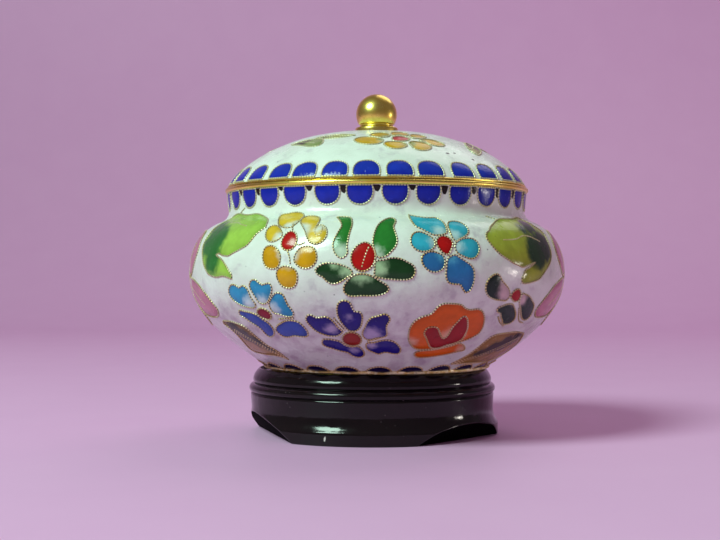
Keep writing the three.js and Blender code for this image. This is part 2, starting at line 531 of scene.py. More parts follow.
ground, ground_shader, ground_place = new_finish("white_ground_enamel")
clouding = ground_place.cloud(70, 3.0, 0.55)
staining = ground_place.cloud(190, 4.0, 0.6)
ground_tone = clouding.rise(0.35, 0.65).blend(paint(239, 246, 236), paint(228, 232, 222))
height = ground_place.node("ShaderNodeSeparateXYZ", {}, {0: ground_place}, "Z")
lowness = 1 - height.rise(STAINS_AND_SHADE_BELOW * MM, NO_STAINS_OR_SHADE_ABOVE * MM)
ground_tone = (staining.rise(0.54, 0.74) * 0.55).blend(ground_tone, paint(186, 176, 186))
# Towards the bottom the ground is blended to mauve: random stains, and under them an even painted shade and
# pink floor bounce that darken the lower bowl.
ground_tone = (lowness * (0.28 + staining.rise(0.40, 0.66) * 0.42)).blend(ground_tone, paint(158, 126, 150))
pits = ground_place.specks(330, 0.10) * ground_place.cloud(110).rise(0.50, 0.60)
ground_tone = (pits * 0.8).blend(ground_tone, paint(92, 84, 92))
pebbles = ground_place.cloud(240, 2.0, 0.5) * 0.9 + ground_place.cloud(800, 2.0) * 0.3
feed(
    ground_shader,
    {
        "Base Color": ground_tone,
        "Roughness": 0.22 + staining.rise(0.4, 0.8) * 0.2,
        "Specular IOR Level": 0.4,
        "Coat Weight": 0.12,
        "Coat Roughness": 0.08,
        "Normal": (pebbles - pits * 0.4).bump(0.24),
    },
)
lining, lining_shader, lining_place = new_finish("turquoise_lining_enamel")
feed(
    lining_shader,
    {
        "Base Color": lining_place.cloud(120, 3.0).blend(paint(62, 150, 176), paint(92, 184, 198)),
        "Roughness": 0.2 + lining_place.cloud(300).rise(0.3, 0.8) * 0.2,
        "Coat Weight": 0.4,
        "Normal": lining_place.cloud(400, 2.0).bump(0.12),
    },
)
bowl = made_piece("enamelled_bowl", bowl_shape, ground, lining)
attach(bowl, "root")
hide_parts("bowl")

# ---- Scalloped borders of the bowl ----
# Blue cells ring the neck under the rim and the foot. Each is walled by a bent twisted wire
# soldered to the copper, filled with blue enamel, fired and polished.

WIRE_PITCH = 0.86  # one bead of the twisted wire, in mm
WIRE_RADIUS = 0.3
WIRE_SIDES = 6
WIRE_LIFT = 0.06  # how far the wire's middle stands off the enamel's skin
PAINTED_FLOOR_REFLECTION_WIRE = (22, 44)  # the heights in mm between which the wire goes from red to yellow: a painted reflection of the pink floor on the low wires
PAINTED_TOP_LIGHT_WIRE = (62, 72)  # and from yellow to pale: painted light from the softbox above on the high wires
CELL_GAP = 0.95  # spacing of the points round a cell's edge
CELL_CROWN = 0.2  # how far a cell's glossy fill swells in its middle
WHITE = (228, 236, 231)


def flowing(points, closed=True):
    """A smooth line through points in mm; a point given twice is a corner."""
    count = len(points)
    line = []
    for i in range(count if closed else count - 1):
        spots = range(i - 1, i + 3)
        if closed:
            spots = [spot % count for spot in spots]
        else:
            spots = [min(max(spot, 0), count - 1) for spot in spots]
        before, start, end, after = [Vector(points[spot]) for spot in spots]
        pull = (end - start).length / 3
        if pull:
            leave = start + (end - before).normalized() * pull
            reach = end - (after - start).normalized() * pull
            line += geometry.interpolate_bezier(start, leave, reach, end, 9)[:-1]
    return line if closed else [*line, Vector(points[-1])]


def spaced(line, gap, closed=True):
    """An even number of points along a line, about a gap from each other."""
    path = [*line, line[0]] if closed else line
    reach = [0.0]
    for a, b in zip(path, path[1:]):
        reach.append(reach[-1] + (b - a).length)
    count = max(round(reach[-1] / gap / 2), 3) * 2
    points = []
    for step in range(count if closed else count + 1):
        goal = reach[-1] * step / count
        span = min(bisect.bisect(reach, goal) - 1, len(path) - 2)
        share = (goal - reach[span]) / max(reach[span + 1] - reach[span], 1e-9)
        points.append(path[span].lerp(path[span + 1], share))
    return points


class Pattern:
    """Cells and wires laid on a shell, gathered until they are made into pieces."""

    def __init__(self, sheet):
        self.sheet = sheet
        self.cells = bmesh.new()
        self.runs = []

    def cell(
        self, bearing, along, outline, near, far, pools=(), wired=True, crown=CELL_CROWN, lift=0.0
    ):
        """One enamel cell: far is its colour, and near the colour inside each (u, v, reach) pool."""
        edge = spaced(flowing(outline), CELL_GAP)
        flat = filled(edge)
        near_layer = flat.verts.layers.float_color.new("near")
        far_layer = flat.verts.layers.float_color.new("far")
        fade_layer = flat.verts.layers.float.new("fade")
        depth_layer = flat.verts.layers.float.new("depth")
        for point in flat.verts:
            u, v = point.co.x, point.co.y
            reach = min([math.hypot(u - a, v - b) - r for a, b, r in pools], default=9.0)
            depth = min((Vector((u, v)) - spot).length for spot in edge)
            depth = 0.0 if point.is_boundary else depth
            point[near_layer] = paint(*near)
            point[far_layer] = paint(*far)
            point[fade_layer] = 0.5 + reach / 4.2
            point[depth_layer] = min(depth / 1.6, 1.0)
            swell = crown * math.sin(math.pi / 2 * min(depth / 1.8, 1.0))
            point.co = self.sheet.place(bearing, along + v, u, 0.03 + lift + swell)
        mesh = bpy.data.meshes.new("cell")
        flat.to_mesh(mesh)
        flat.free()
        self.cells.from_mesh(mesh)
        bpy.data.meshes.remove(mesh)
        if wired:
            self.wire(bearing, along, outline, lift=lift)

    def wire(self, bearing, along, points, closed=True, lift=0.0):
        """One run of twisted wire, its points half a bead apart."""
        line = spaced(flowing(points, closed), WIRE_PITCH / 2, closed)
        spots = [self.sheet.place(bearing, along + v, u, WIRE_LIFT + lift) for u, v in line]
        self.runs.append((spots, closed))

    def finished(self, name, cell_finish, wire_finish):
        """Makes the gathered cells one piece and the wires another."""
        bmesh.ops.recalc_face_normals(self.cells, faces=self.cells.faces)
        outward = sum(face.normal.dot(face.calc_center_median()) for face in self.cells.faces)
        if outward < 0:
            bmesh.ops.reverse_faces(self.cells, faces=self.cells.faces)
        cells = made_piece(name + "_cells", self.cells, cell_finish)
        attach(cells, "root")
        wires = twisted_wire(name + "_wires", self.runs)
        wires.data.materials.append(wire_finish)
        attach(wires, "root")


def filled(edge):
    """A flat face on a closed line of (u, v), cut into small even triangles."""
    flat = bmesh.new()
    ring = [flat.verts.new((u, v, 0)) for u, v in edge]
    sides = [flat.edges.new(pair) for pair in zip(ring, [*ring[1:], ring[0]])]
    bmesh.ops.triangle_fill(flat, edges=sides, use_beauty=True, normal=(0, 0, 1))
    for limit in (4.0, 2.4, 1.6):
        inner = [e for e in flat.edges if not e.is_boundary and e.calc_length() > limit]
        bmesh.ops.subdivide_edges(flat, edges=inner, cuts=1)
        bmesh.ops.triangulate(flat, faces=flat.faces[:])
        inner = [e for e in flat.edges if not e.is_boundary]
        bmesh.ops.beautify_fill(flat, faces=flat.faces[:], edges=inner, method="ANGLE")
        loose = [point for point in flat.verts if not point.is_boundary]
        bmesh.ops.smooth_vert(flat, verts=loose, factor=0.5, use_axis_x=True, use_axis_y=True)
    return flat


def twisted_wire(name, runs):
    """Wires as curves whose points swell and narrow in turn, made into one mesh."""
    curve = bpy.data.curves.new(name, "CURVE")
    curve.dimensions = "3D"
    curve.bevel_depth = WIRE_RADIUS * MM
    curve.bevel_resolution = 1
    curve.use_fill_caps = True
    for spots, closed in runs:
        line = curve.splines.new("POLY")
        line.points.add(len(spots) - 1)
        for i, spot in enumerate(spots):
            line.points[i].co = (*spot, 1)
            line.points[i].radius = 1.05 if i % 2 else 0.5
        line.use_cyclic_u = closed
    holder = bpy.data.objects.new(name + "_curve", curve)
    bpy.context.scene.collection.objects.link(holder)
    settled = holder.evaluated_get(bpy.context.evaluated_depsgraph_get())
    mesh = bpy.data.meshes.new_from_object(settled)
    bpy.data.objects.remove(holder)
    bpy.data.curves.remove(curve)
    mesh.name = name
    mesh.shade_smooth()
    caps = sum(2 * WIRE_SIDES for spots, closed in runs if not closed)
    grooves = [1.0] * caps
    for spots, closed in runs:
        for i in range(len(spots)):
            grooves += [0.0 if i % 2 else 1.0] * WIRE_SIDES
    mesh.attributes.new("groove", "FLOAT", "POINT").data.foreach_set("value", grooves)
    piece = bpy.data.objects.new(name, mesh)
    bpy.context.scene.collection.objects.link(piece)
    return piece


jewel, jewel_shader, jewel_place = new_finish("coloured_cell_enamel")


def reading(name, output):
    """What a cell's own attribute says at each point."""
    return jewel_place.node("ShaderNodeAttribute", {"attribute_name": name}, {}, output)


fired = jewel_place.cloud(520, 3.0, 0.6)
turning = (reading("fade", "Fac") + fired * 0.7 - 0.35).rise(0.15, 0.85)
jewel_tone = turning.blend(reading("near", "Color"), reading("far", "Color"))
pooling = jewel_place.cloud(230, 3.0, 0.6).rise(0.30, 0.75)
# Each fill is darkened towards its wire walls, painted shade along the wires; the pooling factor varies the
# tone at random.
jewel_tone = jewel_tone.dimmed(
    (0.80 + reading("depth", "Fac") * 0.24) * (0.86 + pooling * 0.22)
)
jewel_pits = jewel_place.specks(420, 0.08) * jewel_place.cloud(150).rise(0.56, 0.62)
jewel_tone = (jewel_pits * 0.7).blend(jewel_tone, paint(30, 26, 34))
feed(
    jewel_shader,
    {
        "Base Color": jewel_tone,
        "Roughness": 0.17 + fired.rise(0.4, 0.8) * 0.14,
        "Specular IOR Level": 0.28,
        "Normal": (jewel_place.cloud(420, 2.0) - jewel_pits * 0.3).bump(0.07),
    },
)

brass, brass_shader, brass_place = new_finish("gilt_wire")
worn = brass_place.cloud(260, 3.0, 0.6)
brass_tone = worn.rise(0.35, 0.65).blend(paint(255, 244, 206), paint(236, 206, 140))
groove = brass_place.node("ShaderNodeAttribute", {"attribute_name": "groove"}, {}, "Fac")
grime = brass_place.cloud(1300, 2.0, 0.6).rise(0.56, 0.72)
# The necks between the beads are painted dark: dirt held in the twist, and painted crevice shade.
brass_tone = groove.rise(0.25, 0.8).blend(brass_tone, paint(50, 32, 22))
wire_height = brass_place.node("ShaderNodeSeparateXYZ", {}, {0: brass_place}, "Z")
# The low wires are painted redder, a painted reflection of the pink floor.
painted_floor_reflection = 1 - wire_height.rise(*[level * MM for level in PAINTED_FLOOR_REFLECTION_WIRE])
brass_tone = (painted_floor_reflection * 0.5).blend(brass_tone, paint(186, 132, 92))
# The high wires are painted paler, a painted highlight from the light above.
painted_top_light = wire_height.rise(*[level * MM for level in PAINTED_TOP_LIGHT_WIRE])
brass_tone = (painted_top_light * 0.45).blend(brass_tone, paint(222, 228, 190))
feed(
    brass_shader,
    {
        "Base Color": (grime * 0.5).blend(brass_tone, paint(84, 58, 34)),
        "Metallic": 0.5 - groove * 0.3,
        "Roughness": 0.34 + groove * 0.3,
    },
)

BORDER_BLUE = (22, 40, 172)
BORDER_DEEP = (14, 20, 112)
# The foot cells' dark navy is painted shade: the border blue as it looks in the shade under the belly.
SHADED_FOOT_BLUE = (26, 14, 62)
NECK_CELL = [
    (-3.7, 0), (-3.7, 0), (-3.85, -1.8), (-3.3, -3.8), (-1.9, -5.2), (0, -5.7),
    (1.9, -5.2), (3.3, -3.8), (3.85, -1.8), (3.7, 0), (3.7, 0),
]
FRONT_NECK = (-53.7, -41.9, -30.1, -17.4, -5.8, 6.5, 18.4, 30.9, 43.1, 54.3)
BACK_NECK = [66.3 + 12 * count for count in range(20)]
FOOT_CELL = [
    (-4.0, 0.5), (-4.0, 0.5), (-3.1, 2.1), (-1.6, 3.2), (0.2, 3.6), (1.9, 3.2), (3.2, 2.1),
    (4.0, 0.5), (4.0, 0.5), (2.2, -0.1), (0, -0.3), (-2.2, -0.1),
]
FOOT_CELLS = 24
DARK_MARK = (34, 26, 24)
HAND_ERROR = 0.16  # how far a bent wire strays from its pattern, in mm


def hand_bent(outline, seed):
    """The outline with each point a little off, as no two bent wires are alike."""
    return [
        (u + HAND_ERROR * noise.noise((u, v, seed)), v + HAND_ERROR * noise.noise((v, seed, u)))
        for u, v in outline
    ]


border = Pattern(bowl_sheet)
neck_top = bowl_sheet.end - 0.15
for count, bearing in enumerate([*FRONT_NECK, *BACK_NECK]):
    outline = hand_bent(NECK_CELL, count)
    border.cell(bearing, neck_top, outline, BORDER_DEEP, BORDER_BLUE, [(0, -9, 4.2)])
    # A dark wedge is laid between each pair of neighbouring neck cells, just under the rim.
    depth = 2.1 + 1.8 * noise.noise((count * 1.7, 3, 5))
    wedge = [(-1.2, 0), (-1.2, 0), (-0.45, -depth), (0.45, -depth), (1.2, 0), (1.2, 0)]
    border.cell(bearing + 6, neck_top, wedge, DARK_MARK, DARK_MARK, wired=False, crown=0.02)
foot_low = bowl_sheet.along[0] + 0.5
for count in range(FOOT_CELLS):
    outline = hand_bent(FOOT_CELL, 40 + count)
    bearing = 1 + 360 * count / FOOT_CELLS
    # Filled with the painted-shade navy, as they sit in the shade under the belly.
    border.cell(bearing, foot_low, outline, SHADED_FOOT_BLUE, SHADED_FOOT_BLUE)
border.finished("bowl_border", jewel, brass)

# ---- Flowers and leaves of the bowl ----
# Scattered blossoms and leaves in coloured enamel, each petal a cell walled by twisted wire.
# The fills fade to white at the heart, where the colours ran together in the kiln.

YELLOW_BLOOM = [
    ("heart", (), [
        (-2.7, 2), (-1.8, 4.2), (-0.5, 4.8), (1.2, 3.8), (2.1, 1.5), (1.6, -0.6), (0.3, -1.4),
        (-1.4, -1.2), (-2.6, 0.2),
    ]),
    ("high", [(0.5, 4.5, 4.6)], [
        (-1.1, 6.6), (0.2, 9.6), (0.2, 12), (-0.8, 14), (-3.2, 14.8), (-6, 14.4), (-8.4, 13.6),
        (-7.5, 10.3), (-6, 7.6), (-3.5, 6.2),
    ]),
    ("high", [(-3, 2.5, 2.2)], [
        (-3.2, 3.2), (-4.2, 5.2), (-6, 6.9), (-8.2, 7.3), (-9.3, 5.4), (-9, 3.2), (-8, 1.8),
        (-6.6, 1.2), (-4.6, 1.6),
    ]),
    ("low", [(-0.5, -2, 2.6)], [
        (-7.8, -0.4), (-6, 0), (-4.2, -0.7), (-2.6, -2.6), (-2.4, -4.8), (-3.2, -6.4), (-5, -6.8),
        (-7, -6.2), (-8.2, -4.4), (-8.5, -2),
    ]),
    ("low", [(0, -4.2, 2.2)], [
        (-2.6, -6.6), (-0.8, -6), (1.5, -6.4), (3, -7.5), (3.3, -9.5), (2.4, -11.6), (0.4, -12.3),
        (-1.8, -11.6), (-3.1, -9.8), (-3.4, -7.8),
    ]),
    ("low", [(1, -2.4, 2.4)], [
        (2.4, -2.6), (3.6, -0.8), (5.4, -0.3), (7.6, -0.8), (8.8, -2.6), (8.8, -4.8), (7.4, -6.3),
        (5.4, -6.7), (3.4, -5.9), (2.1, -4.4),
    ]),
    ("high", [(7.8, 5.6, 1.3), (1.5, 4.5, 3.4)], [
        (0.6, 9.2), (0.6, 12), (2.2, 12.9), (4.5, 12.2), (6, 10.6), (6.6, 9), (6.9, 7.4),
        (8.4, 7), (9.9, 5.6), (10.7, 3.4), (10.3, 1.6), (8.6, 0.4), (6.4, 0.8), (5, 2.4),
        (3.8, 4.6), (2.2, 6.8),
    ]),
    ("wire", (), [(-1.2, 8), (-0.8, 6.3), (-0.3, 5.2)]),
    ("wire", (), [(1.8, 0.4), (3.2, 0.2), (4.8, 1)]),
    ("wire", (), [(-0.4, -1.4), (0.5, -3.2), (1, -5.4)]),
    ("wire", (), [(6.5, 8.4), (6.7, 6.6), (6.9, 4.4), (8, 3), (8.9, 4), (8.6, 6.1)]),
]
GREEN_BLOOM = [
    ("heart", (), [
        (-0.5, 4.3), (1.4, 3.6), (2.6, 1.6), (2.7, -0.8), (1.6, -3), (-0.6, -4), (-2.6, -3.4),
        (-3.8, -1.6), (-3.9, 0.6), (-2.8, 2.8),
    ]),
    ("high", [(-6.6, -0.6, 4.2)], [
        (-8.8, 15), (-8.8, 15), (-7.6, 12.5), (-7, 10), (-7.8, 8), (-8.6, 6), (-9.2, 4), (-9, 2),
        (-8.2, 0.6), (-6.6, -0.3), (-5.1, 1), (-5.2, 3), (-5, 5), (-4.6, 7.5), (-4.1, 10),
        (-4.1, 12), (-4.8, 14.5), (-6.6, 15.2),
    ]),
    ("high", [(2.6, 0.4, 2.6)], [
        (6.6, 14.4), (7.8, 13.8), (8.2, 12), (7.7, 9.8), (8.2, 7.6), (8.8, 5.2), (8.4, 3.2),
        (7, 1.4), (5.6, 0.2), (3.4, 0), (2.6, 1.8), (2, 4.4), (2.3, 7), (3, 9.8), (4.4, 12.4),
    ]),
    ("low", [(-4, -3.6, 2.6), (-8.5, -1.6, 1.2)], [
        (-14.3, -3.6), (-14.3, -3.6), (-13, -2.4), (-11, -1.7), (-8, -1.9), (-5.6, -2.6),
        (-4.2, -3.4), (-3.6, -4.6), (-5, -5.6), (-6.8, -6.8), (-9, -7.5), (-10.8, -6.8),
        (-12, -5.6), (-13.6, -4.8),
    ]),
    ("low", [(3.4, -3, 2.4)], [
        (2.9, -1.2), (5, -0.8), (7.5, -0.2), (9.8, -0.5), (11.8, -1.4), (13.6, -2.6),
        (13.9, -4.4), (12.8, -6), (10, -6.4), (7, -6.2), (4.6, -5.9), (2.6, -5.2), (2.6, -3.4),
    ]),
    ("low", [(-1, -3.8, 3.2)], [
        (-3.4, -5.2), (-1, -4.7), (1.6, -5.2), (4, -6.6), (6, -7.9), (6.5, -9.2), (5, -10.4),
        (2.4, -10.9), (-1, -10.9), (-4.4, -10.9), (-5.9, -9.8), (-6, -8.2), (-5, -6.6),
    ]),
    ("wire", (), [(1, 3), (0.2, 1), (-0.6, -1.5), (-1, -3)]),
]
SKY_BLOOM = [
    ("heart", (), [
        (0.2, 5), (2, 4.2), (2.7, 2.6), (2, 0.8), (0.9, -0.9), (0.9, -0.9), (-0.8, -0.2),
        (-1.9, 1.4), (-2.3, 3), (-1.2, 4.6),
    ]),
    ("high", [(-0.6, 6.2, 2.0)], [
        (-2.4, 5.2), (-4, 6), (-5.6, 7.2), (-7.2, 8.6), (-7.6, 12), (-7.1, 15.2), (-7.1, 15.2),
        (-4.3, 13.8), (-2.2, 13.1), (0.3, 13.1), (1.6, 10.7), (1.8, 7.2), (1.2, 5.8),
    ]),
    ("high", [(3, 4.6, 2.6)], [
        (2.9, 4.4), (2.6, 7), (2.7, 9.2), (3.8, 10.8), (5.6, 11.1), (7.4, 10.2), (8.6, 8.2),
        (8.4, 6.2), (7, 4.9), (5, 4), (3.8, 3.3),
    ]),
    ("high", [(3.4, 1.8, 2.4)], [
        (4.4, 3.4), (6, 4.1), (8.4, 4.3), (10.2, 3.6), (11, 2), (10.8, 0.2), (9.6, -1.4),
        (8, -1.9), (6, -1.4), (4, -0.4), (3.2, 0.8), (3.4, 2.4),
    ]),
    ("low", [(1.6, -1.2, 1.6), (7.3, -7.4, -0.7)], [
        (1.2, -1.4), (3, -0.8), (4.4, -1.6), (6.4, -2.8), (8.2, -4.2), (8.9, -6.4), (8.6, -9),
        (7.6, -11), (6.3, -11.6), (6.3, -11.6), (5.4, -10.6), (4.4, -9.3), (2.6, -9.1),
        (0.8, -8.6), (0, -7), (0.1, -4.4), (0.4, -2.4),
    ]),
    ("low", [(-0.2, -0.4, 2.0)], [
        (-1.9, -0.4), (-0.6, -1.2), (-0.3, -3), (-0.8, -4.6), (-2.4, -5.6), (-4.4, -5.6),
        (-6, -4.6), (-7, -3), (-6.8, -1.2), (-5.4, -0.2), (-3.6, 0.1),
    ]),
    ("high", [(-2, 3, 2.4)], [
        (-2.8, 3.4), (-3, 1.6), (-4.4, 0.5), (-6.4, 0.1), (-8.4, 0.6), (-9.6, 2.2), (-9.4, 4.2),
        (-8.2, 5.8), (-6.4, 6.2), (-4.6, 5.4), (-3.4, 4.4),
    ]),
]
DARK_BLOOM = [
    ("heart", (), [
        (-2.4, 2.2), (-1.4, 3.1), (0, 3.4), (1.2, 2.6), (1.8, 1.2), (1.4, 0), (0, -0.5),
        (-1.4, 0), (-2.6, 1),
    ]),
    ("petal", [(-3.4, 3.6, 4.6)], [
        (-8.8, 7.7), (-11, 7.3), (-12.7, 5.6), (-12.9, 3.4), (-11.6, 1.5), (-9, 0.4), (-6, 0),
        (-4, 0), (-3.2, 1.4), (-3.8, 3), (-5.6, 4.6), (-7.2, 5.8),
    ]),
    ("petal", [(0, 0, 1.4)], [
        (-6.2, -2.6), (-4.6, -1.8), (-2.4, -1.2), (-0.6, -1.4), (1, -2.8), (2.6, -4.6),
        (3.4, -6.4), (2.6, -8), (0.8, -8.5), (-0.8, -8.2), (-2, -6.8), (-3.4, -5.6),
        (-4.2, -4.4), (-5.8, -3.8),
    ]),
    ("petal", [(1.6, 1, 3.2)], [
        (2.2, 1.8), (4.4, 1.6), (6.4, 1), (8.4, -0.3), (10.3, -1.6), (11.3, -3.8), (11.2, -6),
        (10, -7.1), (7.6, -6.6), (5.4, -4.9), (3.6, -2.6), (2, -0.8),
    ]),
    ("wire", (), [(-4.6, -5.4), (-2.4, -7.6), (0.4, -9.2)]),
    ("wire", (), [(2.8, -2.6), (4, -4.4), (5.2, -6.2), (7, -7.6), (9.5, -8.2)]),
]
HEART_BLOOM = [
    ("heart", (), [
        (-3.6, 0.8), (-2, 1.9), (-0.2, 1.7), (1.2, 0.4), (0.9, -1.2), (-0.4, -2), (-2.2, -1.6),
        (-3.4, -0.6),
    ]),
    ("high", [(-4.2, 3, 3.2)], [
        (-3.2, 3.2), (-4.2, 5.4), (-5, 7.8), (-6.6, 8.9), (-8.4, 8.3), (-8.4, 8.3), (-10.2, 9.1),
        (-12, 9), (-13.3, 7.6), (-13.2, 5.8), (-11.4, 4), (-9, 2.9), (-6, 2.2), (-4, 2.2),
    ]),
    ("high", [(0, 3.4, 2.4)], [
        (-1.6, 4), (-2.4, 5.4), (-3.4, 7.2), (-4, 9), (-3.2, 10.4), (-1.6, 10.6), (-0.4, 9.8),
        (0.8, 9.2), (0.8, 9.2), (2.2, 9.5), (3.4, 9.6), (4, 8.4), (3.6, 6.8), (2.6, 5.4),
        (1.8, 4.2), (0, 3.4),
    ]),
    ("high", [(2.4, 1.4, 2.6)], [
        (1.9, 3.6), (3, 5), (4.4, 6.4), (5.8, 6.9), (7.4, 6.3), (7.9, 4.8), (8.2, 3.2),
        (9, 1.6), (9, 0), (7.8, -0.7), (6, -0.6), (4.4, 0), (2.8, 0.4), (2, 1.6),
    ]),
    ("low", (), [
        (-11.4, 0.6), (-10.4, 1.2), (-9, 0.9), (-7, 0.6), (-5, 0), (-3.6, -0.8), (-2.6, -2),
        (-1.4, -3), (-0.6, -4.8), (-1, -7), (-2.2, -8.4), (-4, -9), (-5, -7.6), (-5.4, -6),
        (-6.6, -4.4), (-8.4, -3), (-9.8, -1.6), (-11.4, -0.6),
    ]),
    ("low", (), [
        (1.6, -4.2), (3, -3.4), (5, -2.4), (7, -2.1), (9.2, -2.6), (10.3, -4.2), (10.6, -6.4),
        (9.8, -8.2), (8, -8.6), (5.6, -8.2), (3.2, -8.8), (1.4, -8.6), (0.4, -7.2), (0.2, -5.8),
    ]),
    ("wire", (), [(3.2, -1.7), (6, -1.4), (8.6, -1.2)]),
]
NIGHT_BLOOM = [
    ("heart", (), [
        (-2.4, -0.4), (-1.2, 0.8), (0.4, 1.1), (1.8, 0.4), (2.6, -1.2), (2.4, -3.2),
        (1.2, -4.6), (-0.8, -4.8), (-2.4, -3.8), (-2.9, -2),
    ]),
    ("petal", [(0, 6.6, 0.6)], [
        (-1, 12.2), (-2.6, 11.4), (-3.2, 9.4), (-3.1, 7), (-2.4, 5), (-1.4, 3), (-0.4, 1.8),
        (1.6, 1.8), (3, 3.4), (3.6, 5.4), (3.8, 7.2), (3.2, 8.6), (1.8, 8.8), (1.2, 10),
        (0.6, 11.6),
    ]),
    ("petal", [(-5.6, 2.6, 1.7)], [
        (-12.8, 5.6), (-12.2, 7.2), (-11, 7.4), (-9.6, 6.6), (-8.4, 6.6), (-7, 6.9),
        (-5.6, 6.3), (-4.4, 4.8), (-3.6, 3), (-2.4, 1.4), (-3, 0.4), (-4.4, -0.6),
        (-6.4, -0.6), (-8.4, 0.2), (-10.2, 1.4), (-11.6, 3.2),
    ]),
    ("petal", [(5.6, 0, 2.8)], [
        (3.4, 1.4), (4.2, 3.2), (5, 5), (6.4, 6.6), (8.4, 7.2), (10, 7.8), (11.2, 7.2),
        (11.4, 5.6), (10.4, 3.8), (10.2, 2), (10.1, 0), (9.2, -0.9), (7, -1.3), (5, -2),
        (3.8, -1.6), (3.2, 0),
    ]),
    ("petal", [(0, -7, 1.0)], [
        (-9.1, -3.4), (-8.6, -2.2), (-7, -2), (-5, -2.4), (-3.6, -3), (-2.6, -4.4),
        (-0.8, -5.4), (1.4, -5.2), (2.4, -6.8), (2.7, -8.8), (2, -10.4), (0.6, -10.9),
        (-1, -10), (-2, -8.4), (-4, -7.6), (-6, -6.6), (-8, -5.6), (-9, -4.6),
    ]),
    ("petal", [(4.6, -4, 1.8)], [
        (4.2, -3.6), (6, -3.4), (8, -2.6), (10, -2.3), (11.8, -3), (13, -4.8), (13.4, -6.8),
        (12.6, -8.8), (11.2, -9), (9, -8.2), (7.8, -8.6), (6.8, -9.2), (5.4, -8.2), (4, -6.8),
        (3.6, -5.2),
    ]),
    ("wire", (), [(-4.4, 6.6), (-3, 4.2), (-1.6, 1.8)]),
    ("wire", (), [(4.2, -2.8), (7, -1.8), (9.4, -1)]),
]
FLAME_BLOOM = [
    ("petal", [(2, -2, 4.4), (-10.5, -4, 2.2)], [
        (-11.8, 2.6), (-11.2, 4.8), (-9.4, 6.4), (-7, 7.4), (-5.6, 9.6), (-4, 10.6), (-1, 10.6),
        (1.6, 10.2), (3.4, 9), (5, 8.6), (7.6, 8.8), (9.4, 7.8), (10.8, 5.6), (11.4, 2.8),
        (11.2, 0), (10, -1.6), (8, -3), (6.4, -3.8), (4, -5), (1, -6.2), (-1.6, -7.2),
        (-4, -7.2), (-7, -7), (-9, -5.4), (-10.6, -3), (-11.6, 0),
    ]),
    ("inlay", (), [
        (-6.9, 2.4), (-5.4, 2.9), (-3.8, 2.4), (-2.8, 1), (-1.8, -0.6), (-0.4, -2), (0.4, -0.6),
        (0.6, 1.2), (1, 3), (2, 5), (3.2, 6.6), (4.4, 6), (5.4, 4), (6, 2), (6.1, -1),
        (5.6, -3), (3.8, -4.4), (1.6, -5.2), (0, -6.2), (-1.8, -6.6), (-3.2, -6), (-4.6, -4),
        (-6, -1.6), (-7.2, 0.4),
    ]),
    ("petal", [(8, -8, 2.0)], [
        (-6.6, -8.6), (-5, -7.9), (-2, -7.6), (1, -6.8), (3.6, -5.8), (5.6, -4.8), (7.4, -5.4),
        (8.8, -7), (9, -8.2), (7, -9), (5, -9.8), (2.6, -10.6), (0, -11.2), (-3, -11.6),
        (-5.4, -11.4), (-6.6, -10),
    ]),
]
CURLED_LEAF = [
    ("leaf", [(-7.5, 2, 6.4), (-11.5, 7, 3.6), (-5.5, -4.5, 4.4), (-12, 0, 3.4)], [
        (13.8, 6), (13.8, 6), (13, 5), (11.8, 3.2), (11, 1), (10, -0.4), (8, -1.4), (5, -2.6),
        (3, -3.4), (0, -3.2), (-2, -2.6), (-3.6, -3.0), (-3.6, -3.0), (-2, -3.6), (0, -4.4),
        (2, -5.8), (4, -7.6), (5.4, -9), (5.4, -10.2), (5.4, -10.2), (4, -9.8), (1, -9.3),
        (-2, -9.6), (-5, -9.3), (-8, -8.4), (-11.5, -5.5), (-14.5, -1.5), (-15.7, 2),
        (-15.5, 5.5), (-15, 10), (-13.5, 14), (-8.5, 14.8), (-5, 14.2), (-2, 14), (1, 14.3),
        (4, 13.8), (7, 12.6), (10, 10.8), (12, 8.8),
    ]),
    ("wire", (), [(-6, 9), (-1, 8.6), (2, 7.6), (5.2, 6.9)]),
    ("wire", (), [(-8.5, 14.8), (-7.4, 15.8), (-6, 16.5)]),
]
FOLDED_LEAF = [
    ("leaf", [(9, 0, 5.6), (13.5, 2, 5.5), (6.5, 7.6, 2.4), (11, 9, 3.4)], [
        (-9.5, 6.6), (-10.8, 5.8), (-11.8, 4), (-11.2, 2), (-10, 0.4), (-8.6, -1), (-6.4, -2.2),
        (-4, -3.4), (-1, -4.4), (0.4, -4.7), (3, -4.2), (7, -3.2), (7, -3.2), (4, -4.6),
        (1.5, -5.6), (0.6, -6.8), (-0.2, -8.4), (0.6, -9.4), (3, -9.4), (6.5, -8.8), (9, -8.2),
        (12.5, -6.1), (17.9, -2.1), (19.4, 2.4), (20, 6.8), (16.2, 11), (14.5, 15), (8, 13.8),
        (1.3, 13.4), (-1, 12.4), (-3, 11.4), (-5, 10), (-8, 8),
    ]),
    ("wire", (), [(-6, 3.4), (-3, 3.5), (0, 3.8), (2, 4.4), (4, 5), (7, 4.9), (9, 4.4), (12.5, 3.2)]),
    ("wire", (), [(-1, 12.4), (-2, 14), (-3.4, 15)]),
]
LOW_LEAF_LEFT = [
    ("leaf", [(-5, 4, 3.6), (-2, 1.4, 3.4), (1, -1.6, 2.8), (3.6, -5, 2)], [
        (-9.8, 6.1), (-6, 6.8), (-2.4, 6.4), (1.6, 4.6), (3.1, 0.3), (4.2, -3.3), (6.1, -7),
        (6.3, -10.9), (6.3, -10.9), (4.2, -9.1), (-2.5, -8.4), (-8.2, -6.8), (-7.3, -1.5),
        (-7.7, 3.1),
    ]),
    ("wire", (), [(-6.4, 3.2), (-2, -0.6), (2, -5), (5.6, -10)]),
    ("wire", (), [(-5.6, 3.8), (-1.2, 0), (2.8, -4.4), (6, -9.6)]),
]
